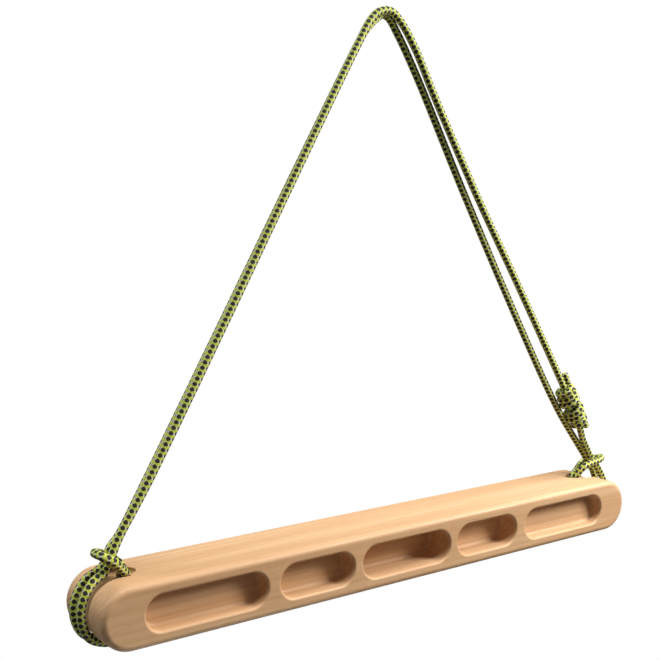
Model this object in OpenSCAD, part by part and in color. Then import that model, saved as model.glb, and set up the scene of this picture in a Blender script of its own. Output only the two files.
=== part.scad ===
// Portable climbing hangboard: one wooden bar with five finger pockets, hung on a closed loop
// of 6 mm cord.  Millimetres.  X runs along the bar, -Y is the pocket side, +Z is up.
// The origin is the underside of the cord's bend, where the hook carries it.

/* [Bar] */
// Overall length of the wooden bar
bar_length = 520; // [516:1:524]
// Height of the bar
bar_height = 45; // [44:0.5:46]
// Depth of the bar from the pocket face to the back
bar_depth = 60; // [58:1:64]
// Radius of the long rounded edges
edge_round = 4.5; // [3:0.5:6]
// Height of the bar's centre below the hook
hang_drop = 415; // [414:0.5:416]
// Distance of the bar's mid-depth plane in front of the cord plane
cord_setback = 3; // [2:0.5:4]

/* [Finger pockets] */
// Clear height of every pocket
pocket_height = 26; // [22:1:28]
// Radius of the rounded pocket mouth
mouth_round = 2; // [1:0.5:3]
// Radius in the corner between pocket wall and pocket back
back_round = 3; // [1:0.5:4]
// Depth of the left wide pocket
left_wide_depth = 12; // [8:1:14]
// Depth of the left three-finger pocket
left_mid_depth = 15; // [10:1:22]
// Depth of the middle pocket
centre_depth = 25; // [15:1:35]
// Depth of the right three-finger pocket
right_mid_depth = 18; // [10:1:22]
// Depth of the right wide pocket
right_wide_depth = 10; // [8:1:14]

/* [Cord grooves and holes] */
// Width of the groove round each end
groove_width = 20; // [19:0.5:22]
// Depth of the groove round each end
groove_cut = 2.5; // [2:0.5:3]
// Radius of the groove's rounded outer edges
groove_edge = 2; // [1:0.5:2]
// Radius of the upright cord hole at each end
hole_radius = 6.5; // [6.4:0.1:7]
// Distance of each cord hole from the middle of the bar
hole_offset = 227; // [226.5:0.5:227.5]
// Radius of the rounded hole mouths
hole_mouth = 1; // [1:0.5:4]

/* [Cord] */
// Diameter of the cord
cord_d = 6; // [5:0.1:6.2]
// Number of flat sides on each cord stretch
cord_sides = 10; // [8:1:12]
// Radius of the knot's two barrels
knot_radius = 8; // [7:0.5:8]
// Length of each cord tail that sticks out of the knot
tail_length = 13; // [8:1:16]

/* [Hidden] */

wood = [0.86, 0.70, 0.51];
lime = [0.74, 0.80, 0.32];
lime_dark = [0.55, 0.62, 0.22];
olive = [0.42, 0.47, 0.18];
round_fn = 96;
small_fn = 48;
eps = 0.02;

half_length = bar_length / 2;
end_radius = bar_height / 2;
end_centre = half_length - end_radius;
half_depth = bar_depth / 2;
pocket_r = pocket_height / 2;
floor_radius = end_radius - groove_cut;
overcut = 12;

// Each pocket: where its clear opening starts and ends along the bar, and its depth.
pockets = [[-228, -131, left_wide_depth],
           [-120, -53, left_mid_depth],
           [-44.5, 44.5, centre_depth],
           [53, 120, right_mid_depth],
           [131, 228, right_wide_depth]];

// The loop's route, one stretch after another from the top of the knot round to its bottom.
// Y = -3 is the front strand of each pair and Y = +3 the rear one.
route_right_leg_upper = [[205.5, -4.5, -305], [146.5, -3, -212], [96, -3, -136], [47.5, -3, -57.5]];
route_bend_front = [[27, -3, -22.5], [12, -3, -3.5], [2, -3, 3.4], [-9, -3, 2], [-17, -3, -4.5]];
route_left_leg_front = [[-30.5, -3, -25.5], [-209, -3, -331], [-232.5, -3, -367.5]];
route_left_wrap = [[-236.5, -3, -375.5], [-242, -3.6, -387.5], [-254.4, -5, -395.5],
                   [-262.6, -6.2, -412.5], [-257, -5.6, -431.5]];
route_left_hole = [[-240, -3.6, -439.2], [-232, -3.2, -438.2], [-228.4, -3.2, -434.4],
                   [-227.1, -3.2, -429], [-227, -3.3, -401]];
route_left_hitch = [[-227.2, -3.4, -395.5], [-232.8, -6.6, -388.5], [-239.4, -9.8, -381.9],
                    [-246.4, -8.6, -377.4], [-248.2, -2.8, -376.6], [-247.4, 3.8, -377.2],
                    [-239.5, 10, -380.8], [-230.8, 9.6, -385.9], [-226.9, 5.7, -390.7],
                    [-226.9, 3.3, -395.4]];
route_left_leg_rear = [[-229.5, 3, -367.5], [-208.2, 3, -332.5], [-26, 3, -24.5]];
route_bend_rear = [[-18, 3, -12.5], [-7.5, 3, -2.5], [-1, 3, 1.2], [5, 3, -0.8], [13, 3, -10.5]];
route_right_leg_rear = [[33, 3, -41], [88, 3, -136], [159, 3, -253], [207, 3, -327],
                        [239.4, 3, -367.5]];
route_right_wrap_rear = [[246, 3, -375.5], [251.5, 3.4, -383.5], [259.5, 4, -392],
                         [266, 5, -411], [258, 5, -431.5]];
route_right_hole = [[240, 3.5, -439.2], [232, 3.2, -438.2], [228.4, 3.2, -434.4],
                    [227.8, 3.2, -429], [229.1, 2.5, -402]];
route_right_hitch = [[229.8, 2.8, -393.5], [240.5, 6.8, -389], [249.4, 9.6, -385.1],
                     [258.9, 9.6, -382], [263.5, 5.6, -380.8], [263, 0.6, -379.4],
                     [259.7, -5.4, -378], [251, -9.8, -378.6], [240, -9.9, -380],
                     [232.2, -8.8, -382.6], [228.2, -5.6, -388.2], [225.9, -2.9, -394.6]];
route_right_hole_front = [[224.9, -2.5, -402], [226.4, -3.2, -429], [228.4, -3.2, -434.4],
                          [232, -3.2, -438.2], [240, -3.5, -439.2]];
route_right_wrap_front = [[258, -5, -432], [265.5, -5, -414], [264, -4.6, -400],
                          [253.5, -3.5, -383.2], [246.8, -3, -375.5]];
route_right_leg_lower = [[241.6, -3, -367.5], [234.7, -3.6, -357], [228.5, -4.5, -343]];

// Mirror image of a stretch on the other side of the cord plane, run the other way.
function other_side(points) =
    [for (i = [len(points) - 1 : -1 : 0]) [points[i][0], -points[i][1], points[i][2]]];

stretches = [route_right_leg_upper, route_bend_front, route_left_leg_front,
             route_left_wrap, route_left_hole,
             route_left_hitch,
             other_side(route_left_hole), other_side(route_left_wrap),
             route_left_leg_rear, route_bend_rear, route_right_leg_rear,
             route_right_wrap_rear, route_right_hole, route_right_hitch,
             route_right_hole_front, route_right_wrap_front, route_right_leg_lower];
route = [for (points = stretches) each points];

// Index in the whole route of the first point of stretch number n.
function first(n) = n == 0 ? 0 : first(n - 1) + len(stretches[n - 1]);

function unit(v) = v / norm(v);
last_point = len(route) - 1;
function heading(i) = unit(route[min(i + 1, last_point)] - route[max(i - 1, 0)]);

// Sideways direction at every point, carried along the route without twist.
function square_to(v, t) = unit(v - (v * t) * t);
function carried(i, side) =
    i > last_point ? [] :
    let (s = square_to(side, heading(i))) concat([s], carried(i + 1, s));
sides = carried(0, [0, 1, 0]);

function ring(i) =
    let (t = heading(i), u = sides[i], v = cross(t, u))
    [for (k = [0 : cord_sides - 1])
        let (a = 360 * k / cord_sides)
        route[i] + cord_d / 2 * (cos(a) * u + sin(a) * v)];

// Solid tube along the route from point a to point b.
module cord_stretch(a, b) {
    rings = b - a;
    points = [for (i = [a : b]) each ring(i)];
    walls = [for (j = [0 : rings - 1], k = [0 : cord_sides - 1])
                let (m = (k + 1) % cord_sides, low = j * cord_sides, high = low + cord_sides)
                [low + k, high + k, high + m, low + m]];
    start_cap = [[for (k = [0 : cord_sides - 1]) k]];
    end_cap = [[for (k = [cord_sides - 1 : -1 : 0]) rings * cord_sides + k]];
    polyhedron(points = points, faces = concat(start_cap, walls, end_cap), convexity = 6);
}

// ---- wooden bar ----

module rounded_section(length, depth, radius) {
    union() {
        square([length, depth - 2 * radius], center = true);
        square([length - 2 * radius, depth], center = true);
        for (sx = [-1, 1], sy = [-1, 1])
            translate([sx * (length / 2 - radius), sy * (depth / 2 - radius)])
                circle(r = radius, $fn = small_fn);
    }
}

module half_plane(size) {
    translate([0, -size]) square([size, 2 * size]);
}

// Turns a (radius, depth) outline about the bar's depth axis at X = x.
module turned(x) {
    translate([x, 0, 0]) rotate([90, 0, 0]) rotate_extrude($fn = round_fn) children();
}

// Runs a (height, depth) outline along the bar from x0 to x1.
module run_along(x0, x1) {
    translate([x0, 0, 0]) rotate([0, 90, 0]) mirror([1, 0, 0]) linear_extrude(x1 - x0)
        children();
}

module bar_blank() {
    run_along(-end_centre, end_centre) rounded_section(bar_height, bar_depth, edge_round);
    for (side = [-1, 1])
        turned(side * end_centre)
            intersection() {
                rounded_section(bar_height, bar_depth, edge_round);
                half_plane(bar_depth);
            }
}

// Outline of a pocket cutter: first coordinate out from the pocket's middle line, second
// coordinate the depth, with the pocket face at +half_depth for the turned ends.
module pocket_outline(depth) {
    bottom = half_depth - depth;
    difference() {
        union() {
            translate([-pocket_r, bottom + back_round])
                square([pocket_height, depth + 1]);
            translate([-pocket_r + back_round, bottom])
                square([pocket_height - 2 * back_round, depth]);
            for (s = [-1, 1])
                translate([s * (pocket_r - back_round), bottom + back_round])
                    circle(r = back_round, $fn = small_fn);
            translate([-pocket_r - mouth_round, half_depth - mouth_round])
                square([pocket_height + 2 * mouth_round, mouth_round + 1]);
        }
        for (s = [-1, 1])
            translate([s * (pocket_r + mouth_round), half_depth - mouth_round])
                circle(r = mouth_round, $fn = small_fn);
    }
}

module pocket_cutter(x0, x1, depth) {
    run_along(x0 + pocket_r, x1 - pocket_r) mirror([0, 1]) pocket_outline(depth);
    for (x = [x0 + pocket_r, x1 - pocket_r])
        turned(x) intersection() {
            pocket_outline(depth);
            half_plane(bar_depth + 2);
        }
}

// Outline of the groove cutter: first coordinate out from the end's centre.
module groove_outline() {
    translate([0, cord_setback])
        difference() {
            union() {
                translate([floor_radius, -groove_width / 2])
                    square([overcut, groove_width]);
                translate([end_radius - groove_edge, -groove_width / 2 - groove_edge])
                    square([overcut, groove_width + 2 * groove_edge]);
            }
            for (s = [-1, 1])
                translate([end_radius - groove_edge, s * (groove_width / 2 + groove_edge)])
                    circle(r = groove_edge, $fn = small_fn);
        }
}

module groove_cutter() {
    straight = end_centre - hole_offset - 1;
    translate([-end_centre, 0, 0]) rotate([90, 0, 0]) rotate([0, 0, 90])
        rotate_extrude(angle = 180, $fn = round_fn) mirror([0, 1]) groove_outline();
    for (flip = [0, 1])
        mirror([0, 0, flip])
            run_along(-end_centre - eps, -end_centre + straight) groove_outline();
}

module hole_cutter() {
    through = bar_height + 2 * overcut;
    cylinder(r = hole_radius, h = through, center = true, $fn = round_fn);
    for (flip = [0, 1])
        mirror([0, 0, flip])
            translate([0, 0, floor_radius - hole_mouth])
                rotate_extrude($fn = round_fn)
                    difference() {
                        square([hole_radius + hole_mouth, hole_mouth + groove_cut + 1]);
                        translate([hole_radius + hole_mouth, 0])
                            circle(r = hole_mouth, $fn = small_fn);
                    }
}

module board() {
    color(wood)
        translate([0, -cord_setback, -hang_drop])
            difference() {
                bar_blank();
                for (p = pockets) pocket_cutter(p[0], p[1], p[2]);
                for (side = [0, 1])
                    mirror([side, 0, 0]) {
                        groove_cutter();
                        translate([-hole_offset, cord_setback, 0]) hole_cutter();
                    }
            }
}

// ---- cord ----

// Stretch number n of the route; it runs on to the next stretch's first point when joined.
module stretch(n, joined = true) {
    cord_stretch(first(n), first(n) + len(stretches[n]) - (joined ? 0 : 1));
}

knot_top = route_right_leg_upper[0];
knot_foot = route_right_leg_lower[2];
knot_axis = unit(knot_top - knot_foot);
knot_tilt = atan2(knot_axis[0], knot_axis[2]);
knot_size = norm(knot_top - knot_foot);
waist_round = 6;
tail_offset = cord_d + 0.2;

module on_knot() {
    translate(knot_foot) rotate([0, knot_tilt, 0]) children();
}

// Two barrels of wraps end to end.
module knot() {
    barrel = knot_size / 2;
    color(lime_dark) on_knot()
        rotate_extrude($fn = round_fn)
            for (i = [0, 1])
                translate([0, i * barrel]) {
                    square([knot_radius - waist_round / 2, barrel]);
                    translate([0, waist_round / 2]) square([knot_radius, barrel - waist_round]);
                    for (z = [waist_round / 2, barrel - waist_round / 2])
                        translate([knot_radius - waist_round / 2, z])
                            circle(r = waist_round / 2, $fn = small_fn);
                }
}

module tail(from, way) {
    color(lime) on_knot()
        translate([tail_offset, 0, from])
            rotate([way < 0 ? 180 : 0, 0, 0])
                cylinder(d = cord_d, h = tail_length, $fn = small_fn);
}

module upper_tail() { tail(knot_size, 1); }
module lower_tail() { tail(0, -1); }

module right_leg_upper() { color(lime) stretch(0); }
module hook_bend_front() { color(lime) stretch(1); }
module left_leg_front() { color(lime) stretch(2, joined = false); }
module left_wrap_front() { color(lime_dark) stretch(3); }
module left_hole_front() { color(olive) stretch(4); }
module left_hitch() { color(lime) stretch(5); }
module left_hole_rear() { color(olive) stretch(6); }
module left_wrap_rear() { color(lime_dark) stretch(7, joined = false); }
module left_leg_rear() { color(lime) stretch(8); }
module hook_bend_rear() { color(lime) stretch(9); }
module right_leg_rear() { color(lime) stretch(10, joined = false); }
module right_wrap_rear() { color(lime_dark) stretch(11); }
module right_hole_rear() { color(olive) stretch(12); }
module right_hitch() { color(lime) stretch(13); }
module right_hole_front() { color(olive) stretch(14); }
module right_wrap_front() { color(lime_dark) stretch(15, joined = false); }
module right_leg_lower() { color(lime) stretch(16, joined = false); }

board();
right_leg_upper();
hook_bend_front();
left_leg_front();
left_wrap_front();
left_hole_front();
left_hitch();
left_hole_rear();
left_wrap_rear();
left_leg_rear();
hook_bend_rear();
right_leg_rear();
right_wrap_rear();
right_hole_rear();
right_hitch();
right_hole_front();
right_wrap_front();
right_leg_lower();
knot();
upper_tail();
lower_tail();
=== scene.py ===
"""A portable climbing hangboard: a wooden bar with finger pockets on a knotted loop of cord."""
import math

import bpy
import numpy as np
from mathutils import Euler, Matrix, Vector


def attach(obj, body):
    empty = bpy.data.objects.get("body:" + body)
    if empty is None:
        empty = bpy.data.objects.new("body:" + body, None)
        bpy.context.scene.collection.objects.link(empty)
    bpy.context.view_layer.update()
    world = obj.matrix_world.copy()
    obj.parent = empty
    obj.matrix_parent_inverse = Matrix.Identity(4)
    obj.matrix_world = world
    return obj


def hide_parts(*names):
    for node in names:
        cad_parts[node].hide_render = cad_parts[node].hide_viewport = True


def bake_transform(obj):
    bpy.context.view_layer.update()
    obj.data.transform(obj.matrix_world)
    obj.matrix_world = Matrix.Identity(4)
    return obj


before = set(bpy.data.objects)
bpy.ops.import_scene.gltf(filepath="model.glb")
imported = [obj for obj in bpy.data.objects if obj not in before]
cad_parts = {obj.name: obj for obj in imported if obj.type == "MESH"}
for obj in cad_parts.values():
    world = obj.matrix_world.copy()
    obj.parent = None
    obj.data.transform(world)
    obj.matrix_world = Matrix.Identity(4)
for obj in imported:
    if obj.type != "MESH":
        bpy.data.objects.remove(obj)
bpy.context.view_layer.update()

# ---------------------------------------------------------------- camera

CAMERA_PLACE = (-0.5577, -0.6797, -0.1422)
CAMERA_YAW = 36.43
CAMERA_PITCH = -6.51
CAMERA_ROLL = 0.12
CAMERA_LENS = 61.1
CAMERA_SHIFT = (0.0054, 0.0013)


def make_camera():
    data = bpy.data.cameras.new("camera")
    data.lens = CAMERA_LENS
    data.sensor_width = 36
    data.shift_x, data.shift_y = CAMERA_SHIFT
    data.clip_start, data.clip_end = 0.01, 50
    camera = bpy.data.objects.new("camera", data)
    camera.location = CAMERA_PLACE
    turn = Euler((math.radians(90 + CAMERA_PITCH), 0, math.radians(-CAMERA_YAW)))
    roll = Euler((0, 0, math.radians(CAMERA_ROLL)))
    camera.rotation_euler = (turn.to_matrix() @ roll.to_matrix()).to_euler()
    bpy.context.scene.collection.objects.link(camera)
    bpy.context.scene.camera = camera


make_camera()

# ---------------------------------------------------------------- cord

MM = 0.001
CORD = 6.0

# The loop's route in millimetres, from the top of the knot round to its foot.
RIGHT_LEG_UPPER = [(205.5, -4.5, -305), (146.5, -3, -212), (96, -3, -136), (47.5, -3, -57.5)]
BEND_FRONT = [(27, -3, -22.5), (12, -3, -3.5), (2, -3, 3.4), (-9, -3, 2), (-17, -3, -4.5)]
LEFT_LEG_FRONT = [(-30.5, -3, -25.5), (-209, -3, -331), (-232.5, -3, -367.5)]
LEFT_WRAP = [(-236.5, -3, -375.5), (-242, -3.6, -387.5), (-254.4, -5, -395.5),
             (-262.6, -6.2, -412.5), (-257, -5.6, -431.5)]
LEFT_HOLE = [(-240, -3.6, -439.2), (-232, -3.2, -438.2), (-228.4, -3.2, -434.4),
             (-227.1, -3.2, -429), (-227, -3.3, -401)]
LEFT_HITCH = [(-227.2, -3.4, -395.5), (-232.8, -6.6, -388.5), (-239.4, -9.8, -381.9),
              (-246.4, -8.6, -377.4), (-248.2, -2.8, -376.6), (-247.4, 3.8, -377.2),
              (-239.5, 10, -380.8), (-230.8, 9.6, -385.9), (-226.9, 5.7, -390.7),
              (-226.9, 3.3, -395.4)]
LEFT_LEG_REAR = [(-229.5, 3, -367.5), (-208.2, 3, -332.5), (-26, 3, -24.5)]
BEND_REAR = [(-18, 3, -12.5), (-7.5, 3, -2.5), (-1, 3, 1.2), (5, 3, -0.8), (13, 3, -10.5)]
RIGHT_LEG_REAR = [(33, 3, -41), (88, 3, -136), (159, 3, -253), (207, 3, -327),
                  (239.4, 3, -367.5)]
RIGHT_WRAP_REAR = [(246, 3, -375.5), (251.5, 3.4, -383.5), (259.5, 4, -392), (266, 5, -411),
                   (258, 5, -431.5)]
RIGHT_HOLE = [(240, 3.5, -439.2), (232, 3.2, -438.2), (228.4, 3.2, -434.4), (227.8, 3.2, -429),
              (229.1, 2.5, -402)]
RIGHT_HITCH = [(229.8, 2.8, -393.5), (240.5, 6.8, -389), (249.4, 9.6, -385.1),
               (258.9, 9.6, -382), (263.5, 5.6, -380.8), (263, 0.6, -379.4),
               (259.7, -5.4, -378), (251, -9.8, -378.6), (240, -9.9, -380),
               (232.2, -8.8, -382.6), (228.2, -5.6, -388.2), (225.9, -2.9, -394.6)]
RIGHT_HOLE_FRONT = [(224.9, -2.5, -402), (226.4, -3.2, -429), (228.4, -3.2, -434.4),
                    (232, -3.2, -438.2), (240, -3.5, -439.2)]
RIGHT_WRAP_FRONT = [(258, -5, -432), (265.5, -5, -414), (264, -4.6, -400),
                    (253.5, -3.5, -383.2), (246.8, -3, -375.5)]
RIGHT_LEG_LOWER = [(241.6, -3, -367.5), (234.7, -3.6, -357), (228.5, -4.5, -343)]


def other_side(points):
    return [(x, -y, z) for x, y, z in reversed(points)]


ROUTE = (RIGHT_LEG_UPPER + BEND_FRONT + LEFT_LEG_FRONT + LEFT_WRAP + LEFT_HOLE
         + LEFT_HITCH + other_side(LEFT_HOLE)
         + other_side(LEFT_WRAP) + LEFT_LEG_REAR + BEND_REAR + RIGHT_LEG_REAR
         + RIGHT_WRAP_REAR + RIGHT_HOLE + RIGHT_HITCH + RIGHT_HOLE_FRONT
         + RIGHT_WRAP_FRONT + RIGHT_LEG_LOWER)

COLUMNS = 4            # columns of dark diamonds round the cord
PITCH = 4.2            # a diamond's repeat along the cord
STITCH_SIDES = 36      # two flats for each of 18 stitches round the cord
STITCH_STEP = PITCH / 6
STITCH_RELIEF = 0.13


def smooth_line(points, step):
    """Points at equal steps along a centripetal Catmull-Rom curve through the given points."""
    p = np.array(points, float)
    p = np.vstack([2 * p[0] - p[1], p, 2 * p[-1] - p[-2]])
    fine = []
    for i in range(1, len(p) - 2):
        a, b, c, d = p[i - 1:i + 3]
        t1 = np.linalg.norm(b - a) ** 0.5
        t2 = t1 + np.linalg.norm(c - b) ** 0.5
        t3 = t2 + np.linalg.norm(d - c) ** 0.5
        t = np.linspace(t1, t2, 41)[:-1, None]
        e = a * (t1 - t) / t1 + b * t / t1
        f = b * (t2 - t) / (t2 - t1) + c * (t - t1) / (t2 - t1)
        g = c * (t3 - t) / (t3 - t2) + d * (t - t2) / (t3 - t2)
        h = e * (t2 - t) / t2 + f * t / t2
        k = f * (t3 - t) / (t3 - t1) + g * (t - t1) / (t3 - t1)
        fine.append(h * (t2 - t) / (t2 - t1) + k * (t - t1) / (t2 - t1))
    fine = np.vstack(fine + [p[-2][None]])
    along = np.concatenate([[0], np.cumsum(np.linalg.norm(np.diff(fine, axis=0), axis=1))])
    count = max(2, int(round(along[-1] / step)) + 1)
    at = np.linspace(0, along[-1], count)
    return np.stack([np.interp(at, along, fine[:, i]) for i in range(3)], 1)


def carried_frames(line, start=(0, 1, 0)):
    """A sideways and an upward direction at each point, carried along without twist."""
    heading = np.gradient(line, axis=0)
    heading /= np.linalg.norm(heading, axis=1)[:, None]
    side = np.array(start, float)
    sides = []
    for t in heading:
        side = side - (side @ t) * t
        side /= np.linalg.norm(side)
        sides.append(side)
    sides = np.array(sides)
    return sides, np.cross(heading, sides)


def cord_mesh(name, line, diameter=CORD, turn=0.0, domed=(False, False)):
    """A braided tube along a line of points in millimetres, as a mesh in metres."""
    sides, ups = carried_frames(line)
    rings, flats = len(line), STITCH_SIDES
    angle = 2 * math.pi * np.arange(flats) / flats + turn
    ring_number = np.arange(rings)
    checker = (ring_number[:, None] + np.arange(flats)[None, :]) % 2
    radius = diameter / 2 - STITCH_RELIEF * (checker - 0.35)
    shrink = np.ones(rings)
    dome = int(diameter / 2 / STITCH_STEP)
    fade = np.sqrt(1 - (1 - (np.arange(dome) + 0.25) / dome) ** 2)
    if domed[0]:
        shrink[:dome] = fade
    if domed[1]:
        shrink[-dome:] = fade[::-1]
    radius = radius * shrink[:, None]
    out = (np.cos(angle)[None, :, None] * sides[:, None, :]
           + np.sin(angle)[None, :, None] * ups[:, None, :])
    points = (line[:, None, :] + radius[:, :, None] * out).reshape(-1, 3)
    first = np.arange(flats)
    following = (first + 1) % flats
    base = (np.arange(rings - 1) * flats)[:, None]
    quads = np.stack([base + first, base + following,
                      base + flats + following, base + flats + first], 2).reshape(-1, 4)
    faces = quads.tolist()
    faces.append(list(range(flats))[::-1])
    faces.append(list(range((rings - 1) * flats, rings * flats)))
    mesh = bpy.data.meshes.new(name)
    mesh.from_pydata((points * MM).tolist(), [], faces)
    column = np.stack([first, first + 1, first + 1, first], 1) * COLUMNS / flats
    row = np.stack([np.zeros(flats), np.zeros(flats), np.ones(flats), np.ones(flats)], 1)
    u = np.broadcast_to(column, (rings - 1, flats, 4))
    v = (np.arange(rings - 1)[:, None, None] + row[None]) * STITCH_STEP / PITCH
    uv = np.concatenate([np.stack([u, v], 3).reshape(-1, 2), np.zeros((2 * flats, 2))])
    layer = mesh.uv_layers.new(name="braid")
    layer.data.foreach_set("uv", uv.astype(np.float32).ravel())
    mesh.shade_smooth()
    return mesh


def add_piece(name, mesh, material):
    piece = bpy.data.objects.new(name, mesh)
    mesh.materials.append(material)
    bpy.context.scene.collection.objects.link(piece)
    return piece


# ---------------------------------------------------------------- material helpers

class Nodes:
    """Short calls for building one material's node tree."""

    def __init__(self, name):
        self.material = bpy.data.materials.new(name)
        self.material.use_nodes = True
        self.tree = self.material.node_tree
        self.shader = self.tree.nodes["Principled BSDF"]

    def new(self, kind, **settings):
        node = self.tree.nodes.new(kind)
        for key, value in settings.items():
            setattr(node, key, value)
        return node

    def put(self, socket, value):
        if isinstance(value, bpy.types.NodeSocket):
            self.tree.links.new(value, socket)
        else:
            socket.default_value = value

    def math(self, operation, a, b=0.0, c=0.0, clamp=False):
        node = self.new("ShaderNodeMath", operation=operation, use_clamp=clamp)
        for socket, value in zip(node.inputs, (a, b, c)):
            self.put(socket, value)
        return node.outputs[0]

    def smooth(self, value, low, high, start=0.0, end=1.0):
        node = self.new("ShaderNodeMapRange", interpolation_type="SMOOTHSTEP")
        for socket, item in zip(node.inputs, (value, low, high, start, end)):
            self.put(socket, item)
        return node.outputs[0]

    def mix(self, share, a, b, blend_type="MIX"):
        node = self.new("ShaderNodeMix", data_type="RGBA", blend_type=blend_type)
        self.put(node.inputs[0], share)
        self.put(node.inputs[6], a)
        self.put(node.inputs[7], b)
        return node.outputs[2]

    def noise(self, place, scale, detail=4.0, rough=0.55, distortion=0.0):
        node = self.new("ShaderNodeTexNoise")
        self.put(node.inputs["Vector"], place)
        self.put(node.inputs["Scale"], scale)
        self.put(node.inputs["Detail"], detail)
        self.put(node.inputs["Roughness"], rough)
        self.put(node.inputs["Distortion"], distortion)
        return node.outputs["Fac"]

    def stretched(self, place, scale, shift=(0, 0, 0)):
        node = self.new("ShaderNodeMapping")
        self.put(node.inputs["Vector"], place)
        self.put(node.inputs["Scale"], scale)
        self.put(node.inputs["Location"], shift)
        return node.outputs[0]

    def bump(self, height, strength, distance, normal=None):
        node = self.new("ShaderNodeBump")
        self.put(node.inputs["Strength"], strength)
        self.put(node.inputs["Distance"], distance)
        self.put(node.inputs["Height"], height)
        if normal is not None:
            self.put(node.inputs["Normal"], normal)
        return node.outputs[0]


def linear(red, green, blue):
    """An sRGB colour of 0 to 255 as the linear colour that nodes take."""
    def one(value):
        value /= 255
        return value / 12.92 if value <= 0.04045 else ((value + 0.055) / 1.055) ** 2.4
    return (one(red), one(green), one(blue), 1)


def cord_material():
    """Lime sheath with rows of near-black diamonds and small pale tracers, from the braid UVs."""
    n = Nodes("braided_cord")
    uv = n.new("ShaderNodeUVMap", uv_map="braid").outputs[0]
    parts = n.new("ShaderNodeSeparateXYZ")
    n.put(parts.inputs[0], uv)
    around, along = parts.outputs[0], parts.outputs[1]
    column_width = math.pi * CORD / COLUMNS

    stagger = n.math("MULTIPLY", n.math("FRACT", n.math("MULTIPLY", n.math("FLOOR", around),
                                                        0.5)), 0.5)
    rows = n.math("FRACT", n.math("ADD", along, stagger))
    from_column = n.math("ABSOLUTE", n.math("SUBTRACT", n.math("FRACT", around), 0.5))
    from_row = n.math("ABSOLUTE", n.math("SUBTRACT", rows, 0.5))
    reach = n.math("ADD", n.math("POWER", n.math("MULTIPLY", from_column, column_width / 2.3), 1.3),
                   n.math("POWER", n.math("MULTIPLY", from_row, PITCH / 1.75), 1.3))
    dark = n.smooth(reach, 0.85, 1.05, 1.0, 0.0)

    seam = n.math("FRACT", n.math("ADD", around, 0.5))
    from_seam = n.math("ABSOLUTE", n.math("SUBTRACT", seam, 0.5))
    from_fleck = n.math("ABSOLUTE", n.math("SUBTRACT", n.math("FRACT", n.math("ADD", along, 0.12)),
                                           0.5))
    fleck_reach = n.math("ADD", n.math("MULTIPLY", from_seam, column_width / 1.0),
                         n.math("MULTIPLY", from_fleck, PITCH / 1.25))
    fleck = n.smooth(fleck_reach, 0.8, 1.1, 1.0, 0.0)

    place = n.new("ShaderNodeTexCoord").outputs["Object"]
    wear = n.noise(place, 120.0, 3.0)
    lime = n.mix(wear, linear(184, 202, 52), linear(228, 234, 104))
    pale = linear(250, 250, 236)
    black = n.mix(wear, linear(10, 10, 6), linear(30, 31, 16))
    colour = n.mix(fleck, lime, pale)
    colour = n.mix(dark, colour, black)
    n.put(n.shader.inputs["Base Color"], colour)

    # yarns lie in pairs across each stitch, alternately leaning left and right
    stitch_u = n.math("MULTIPLY", around, STITCH_SIDES / 2 / COLUMNS)
    stitch_v = n.math("MULTIPLY", along, 3.0)
    way_a = n.math("COSINE", n.math("MULTIPLY", n.math("ADD", stitch_u, stitch_v), math.pi))
    way_b = n.math("COSINE", n.math("MULTIPLY", n.math("SUBTRACT", stitch_u, stitch_v), math.pi))
    stitches = n.math("MULTIPLY", n.math("ABSOLUTE", way_a), n.math("ABSOLUTE", way_b))
    yarns = n.math("SINE", n.math("MULTIPLY", n.math("ADD", stitch_u, stitch_v), 8 * math.pi))
    relief = n.math("ADD", n.math("POWER", stitches, 0.6), n.math("MULTIPLY", yarns, 0.12))
    n.put(n.shader.inputs["Normal"], n.bump(relief, 0.55, 0.00025))
    n.put(n.shader.inputs["Roughness"], n.smooth(wear, 0.2, 0.8, 0.55, 0.72))
    n.shader.inputs["Specular IOR Level"].default_value = 0.4
    n.shader.inputs["Sheen Weight"].default_value = 0.25
    n.shader.inputs["Sheen Roughness"].default_value = 0.5
    return n.material


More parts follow.
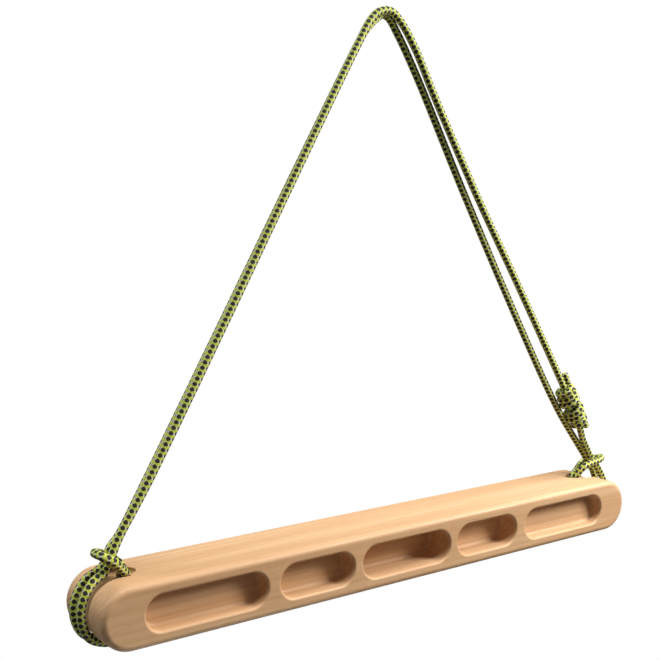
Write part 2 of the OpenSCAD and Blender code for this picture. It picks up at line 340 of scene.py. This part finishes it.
def wood_material():
    """Sanded, oiled beech: soft growth bands, short ray flecks and pores, all along X."""
    n = Nodes("oiled_beech")
    place = n.new("ShaderNodeTexCoord").outputs["Object"]

    # growth rings round a heart line that runs along the bar, above and behind it
    drift = n.noise(n.stretched(place, (1.2, 9, 9)), 1.0, 3.0)
    rings_place = n.stretched(place, (0.04, 1, 1), (0, -0.11, 0.30))
    spread = n.new("ShaderNodeSeparateXYZ")
    n.put(spread.inputs[0], rings_place)
    out = n.math("SQRT", n.math("ADD", n.math("POWER", spread.outputs[1], 2.0),
                                n.math("POWER", spread.outputs[2], 2.0)))
    ring = n.math("FRACT", n.math("ADD", n.math("MULTIPLY", out, 210.0),
                                  n.math("MULTIPLY", drift, 6.0)))
    late_wood = n.smooth(ring, 0.45, 1.0)

    fibre = n.noise(n.stretched(place, (9, 420, 420)), 1.0, 5.0, 0.6)
    broad = n.noise(n.stretched(place, (2.5, 45, 45)), 1.0, 4.0, 0.5)
    streak = n.noise(n.stretched(place, (26, 900, 900)), 1.0, 2.0, 0.5)
    pore = n.noise(n.stretched(place, (160, 1900, 1900)), 1.0, 1.0, 0.5)
    pores = n.smooth(pore, 0.66, 0.74)
    flecks = n.smooth(streak, 0.60, 0.72)

    tone = n.mix(n.smooth(broad, 0.3, 0.7), linear(212, 170, 127), linear(230, 193, 152))
    tone = n.mix(n.math("MULTIPLY", late_wood, 0.35), tone, linear(198, 151, 108))
    tone = n.mix(n.math("MULTIPLY", n.smooth(fibre, 0.35, 0.75), 0.4), tone,
                 linear(203, 156, 112))
    tone = n.mix(n.math("MULTIPLY", flecks, 0.22), tone, linear(160, 108, 70))
    tone = n.mix(n.math("MULTIPLY", pores, 0.25), tone, linear(138, 92, 58))
    n.put(n.shader.inputs["Base Color"], tone)

    grain = n.math("SUBTRACT", n.math("MULTIPLY", fibre, 0.5), n.math("MULTIPLY", pores, 0.6))
    n.put(n.shader.inputs["Normal"], n.bump(grain, 0.25, 0.0002))
    n.put(n.shader.inputs["Roughness"], n.smooth(fibre, 0.3, 0.7, 0.42, 0.55))
    n.shader.inputs["Specular IOR Level"].default_value = 0.45
    return n.material


def plain_material(name, colour):
    """A matt material of one colour."""
    n = Nodes(name)
    n.shader.inputs["Base Color"].default_value = colour
    n.shader.inputs["Roughness"].default_value = 0.9
    return n.material


CORD_LOOK = cord_material()
WOOD_LOOK = wood_material()

# ---------------------------------------------------------------- the loop

KNOT_TOP = np.array(ROUTE[0], float)
KNOT_FOOT = np.array(ROUTE[-1], float)
KNOT_LENGTH = float(np.linalg.norm(KNOT_TOP - KNOT_FOOT))
KNOT_AXIS = (KNOT_TOP - KNOT_FOOT) / KNOT_LENGTH
KNOT_OUT = np.array([KNOT_AXIS[2], 0, -KNOT_AXIS[0]])
KNOT_SIDE = np.array([0.0, 1.0, 0.0])
HIDDEN_END = 9.0       # how far each end of the loop runs on inside the knot
KNOT_NODES = ("knot", "upper_tail", "lower_tail")
LOOP_NODES = [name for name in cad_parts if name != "board" and name not in KNOT_NODES]


def make_loop():
    """The whole loop as one piece, whose ends are hidden in the knot."""
    inside = [tuple(KNOT_TOP - HIDDEN_END * KNOT_AXIS)]
    back = [tuple(KNOT_FOOT + HIDDEN_END * KNOT_AXIS)]
    line = smooth_line(inside + ROUTE + back, STITCH_STEP)
    loop = add_piece("cord_loop", cord_mesh("cord_loop", line), CORD_LOOK)
    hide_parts(*LOOP_NODES)
    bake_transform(loop)
    return loop, line * MM


def knot_point(height, offset, angle):
    """A point of the knot: height along its axis, distance out from it, and angle round it."""
    return (KNOT_FOOT + KNOT_AXIS * height + offset * (math.cos(angle) * KNOT_OUT
                                                       + math.sin(angle) * KNOT_SIDE))


COIL_OUT = 5.9         # distance of a wound turn's centreline from the knot's axis
COIL_SWELL = 1.3       # how much further out the cord lies at the knot's middle
COIL_TURNS = 2.6
DIVE_TURNS = 0.5       # part of a turn added for diving in and out
COIL_PITCH = 6.1
COIL_START = 3.1       # distance of each barrel's first turn from the knot's middle
FLAT_TURN = 0.25       # how far round the first turn goes before it climbs
HEART = 1.5            # distance from the axis where a barrel's cord begins and ends
COIL_CORD = 5.8        # diameter of the cord where it is wound tight
TAIL_LENGTH = 9.0
TAIL_OUT = 6.2


def coil_line(middle, way, begin):
    """One barrel of the knot: the cord dives out of the middle, winds outward and dives in."""
    points = []
    count = 60
    for i in range(count + 1):
        share = i / count
        turn = share * (COIL_TURNS + DIVE_TURNS)
        dive = min(1.0, share * 18, (1 - share) * 9)
        height = middle + way * (COIL_START + max(0.0, turn - FLAT_TURN) * COIL_PITCH)
        swell = COIL_SWELL * math.sin(math.pi * min(1.0, max(0.0, height / KNOT_LENGTH)))
        offset = HEART + (COIL_OUT + swell - HEART) * math.sin(dive * math.pi / 2)
        points.append(knot_point(height, offset, begin + way * turn * 2 * math.pi))
    return smooth_line(points, STITCH_STEP)


def tail_line(end, way):
    """A cut end of the cord, from inside the knot out past one of its ends."""
    points = [knot_point(end - way * 10, 3.6, 0), knot_point(end - way * 3, 5.4, 0),
              knot_point(end + way * 4, TAIL_OUT + 0.3, 0),
              knot_point(end + way * TAIL_LENGTH, TAIL_OUT + 0.6, 0)]
    return smooth_line(points, STITCH_STEP)


def make_knot():
    """Two barrels and two tails, joined into one piece that rides on the sling."""
    middle = KNOT_LENGTH / 2
    meshes = [cord_mesh("coil_upper", coil_line(middle, 1, 0.4), COIL_CORD),
              cord_mesh("coil_lower", coil_line(middle, -1, 2.2), COIL_CORD),
              cord_mesh("tail_upper", tail_line(KNOT_LENGTH, 1), domed=(False, True)),
              cord_mesh("tail_lower", tail_line(0, -1), domed=(False, True))]
    parts = [add_piece(mesh.name, mesh, CORD_LOOK) for mesh in meshes]
    with bpy.context.temp_override(active_object=parts[0], selected_editable_objects=parts):
        bpy.ops.object.join()
    knot = parts[0]
    knot.name = "cord_knot"
    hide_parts(*KNOT_NODES)
    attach(knot, "sling")
    return knot


loop, loop_line = make_loop()
knot_piece = make_knot()

# ---------------------------------------------------------------- the wooden bar

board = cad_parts["board"]
board.data.materials.clear()
board.data.materials.append(WOOD_LOOK)

# ---------------------------------------------------------------- floor and light

FLOOR_DROP = 1.9
FLOOR_RADIUS = 0.8
FLOOR_SIDES = 96
BAR_MIDDLE = (0, 0, -0.415)


def make_floor():
    mesh = bpy.data.meshes.new("floor")
    corners = [2 * math.pi * i / FLOOR_SIDES for i in range(FLOOR_SIDES)]
    mesh.from_pydata([(FLOOR_RADIUS * math.cos(a), FLOOR_RADIUS * math.sin(a), -FLOOR_DROP)
                      for a in corners], [], [list(range(FLOOR_SIDES))])
    floor = bpy.data.objects.new("floor", mesh)
    mesh.materials.append(plain_material("pale_floor", (0.85, 0.85, 0.85, 1)))
    bpy.context.scene.collection.objects.link(floor)


def aim_light(name, data, place):
    """Puts a lamp at a place in metres and turns it to the bar's middle."""
    light = bpy.data.objects.new(name, data)
    light.location = place
    way = Vector(BAR_MIDDLE) - Vector(place)
    light.rotation_euler = way.to_track_quat("-Z", "Y").to_euler()
    bpy.context.scene.collection.objects.link(light)


def make_sun(name, place, strength, softness, colour=(1, 1, 1)):
    data = bpy.data.lights.new(name, "SUN")
    data.energy = strength
    data.angle = math.radians(softness)
    data.color = colour
    aim_light(name, data, place)


def make_panel(name, place, size, power, colour=(1, 1, 1)):
    data = bpy.data.lights.new(name, "AREA")
    data.shape = "RECTANGLE"
    data.size, data.size_y = size
    data.energy = power
    data.color = colour
    aim_light(name, data, place)


def make_world():
    """Plain white to the camera, and a dim even light on the object."""
    world = bpy.data.worlds.new("studio")
    bpy.context.scene.world = world
    world.use_nodes = True
    tree = world.node_tree
    lit = tree.nodes["Background"]
    lit.inputs[0].default_value = (1, 0.98, 0.96, 1)
    lit.inputs[1].default_value = 0.1
    seen = tree.nodes.new("ShaderNodeBackground")
    seen.inputs[0].default_value = (1, 1, 1, 1)
    seen.inputs[1].default_value = 1.0
    path = tree.nodes.new("ShaderNodeLightPath")
    both = tree.nodes.new("ShaderNodeMixShader")
    tree.links.new(path.outputs["Is Camera Ray"], both.inputs[0])
    tree.links.new(lit.outputs[0], both.inputs[1])
    tree.links.new(seen.outputs[0], both.inputs[2])
    tree.links.new(both.outputs[0], tree.nodes["World Output"].inputs[0])


make_floor()
make_world()
make_sun("sun_top", (0.25, -0.45, 1.3), 2.1, 24, (1, 0.985, 0.96))
make_sun("sun_rear", (-0.8, 0.5, 0.9), 1.2, 35)
make_panel("side", (0.75, -0.6, 0.2), (0.4, 0.4), 14, (1, 0.96, 0.9))
bpy.context.scene.view_settings.view_transform = "Standard"
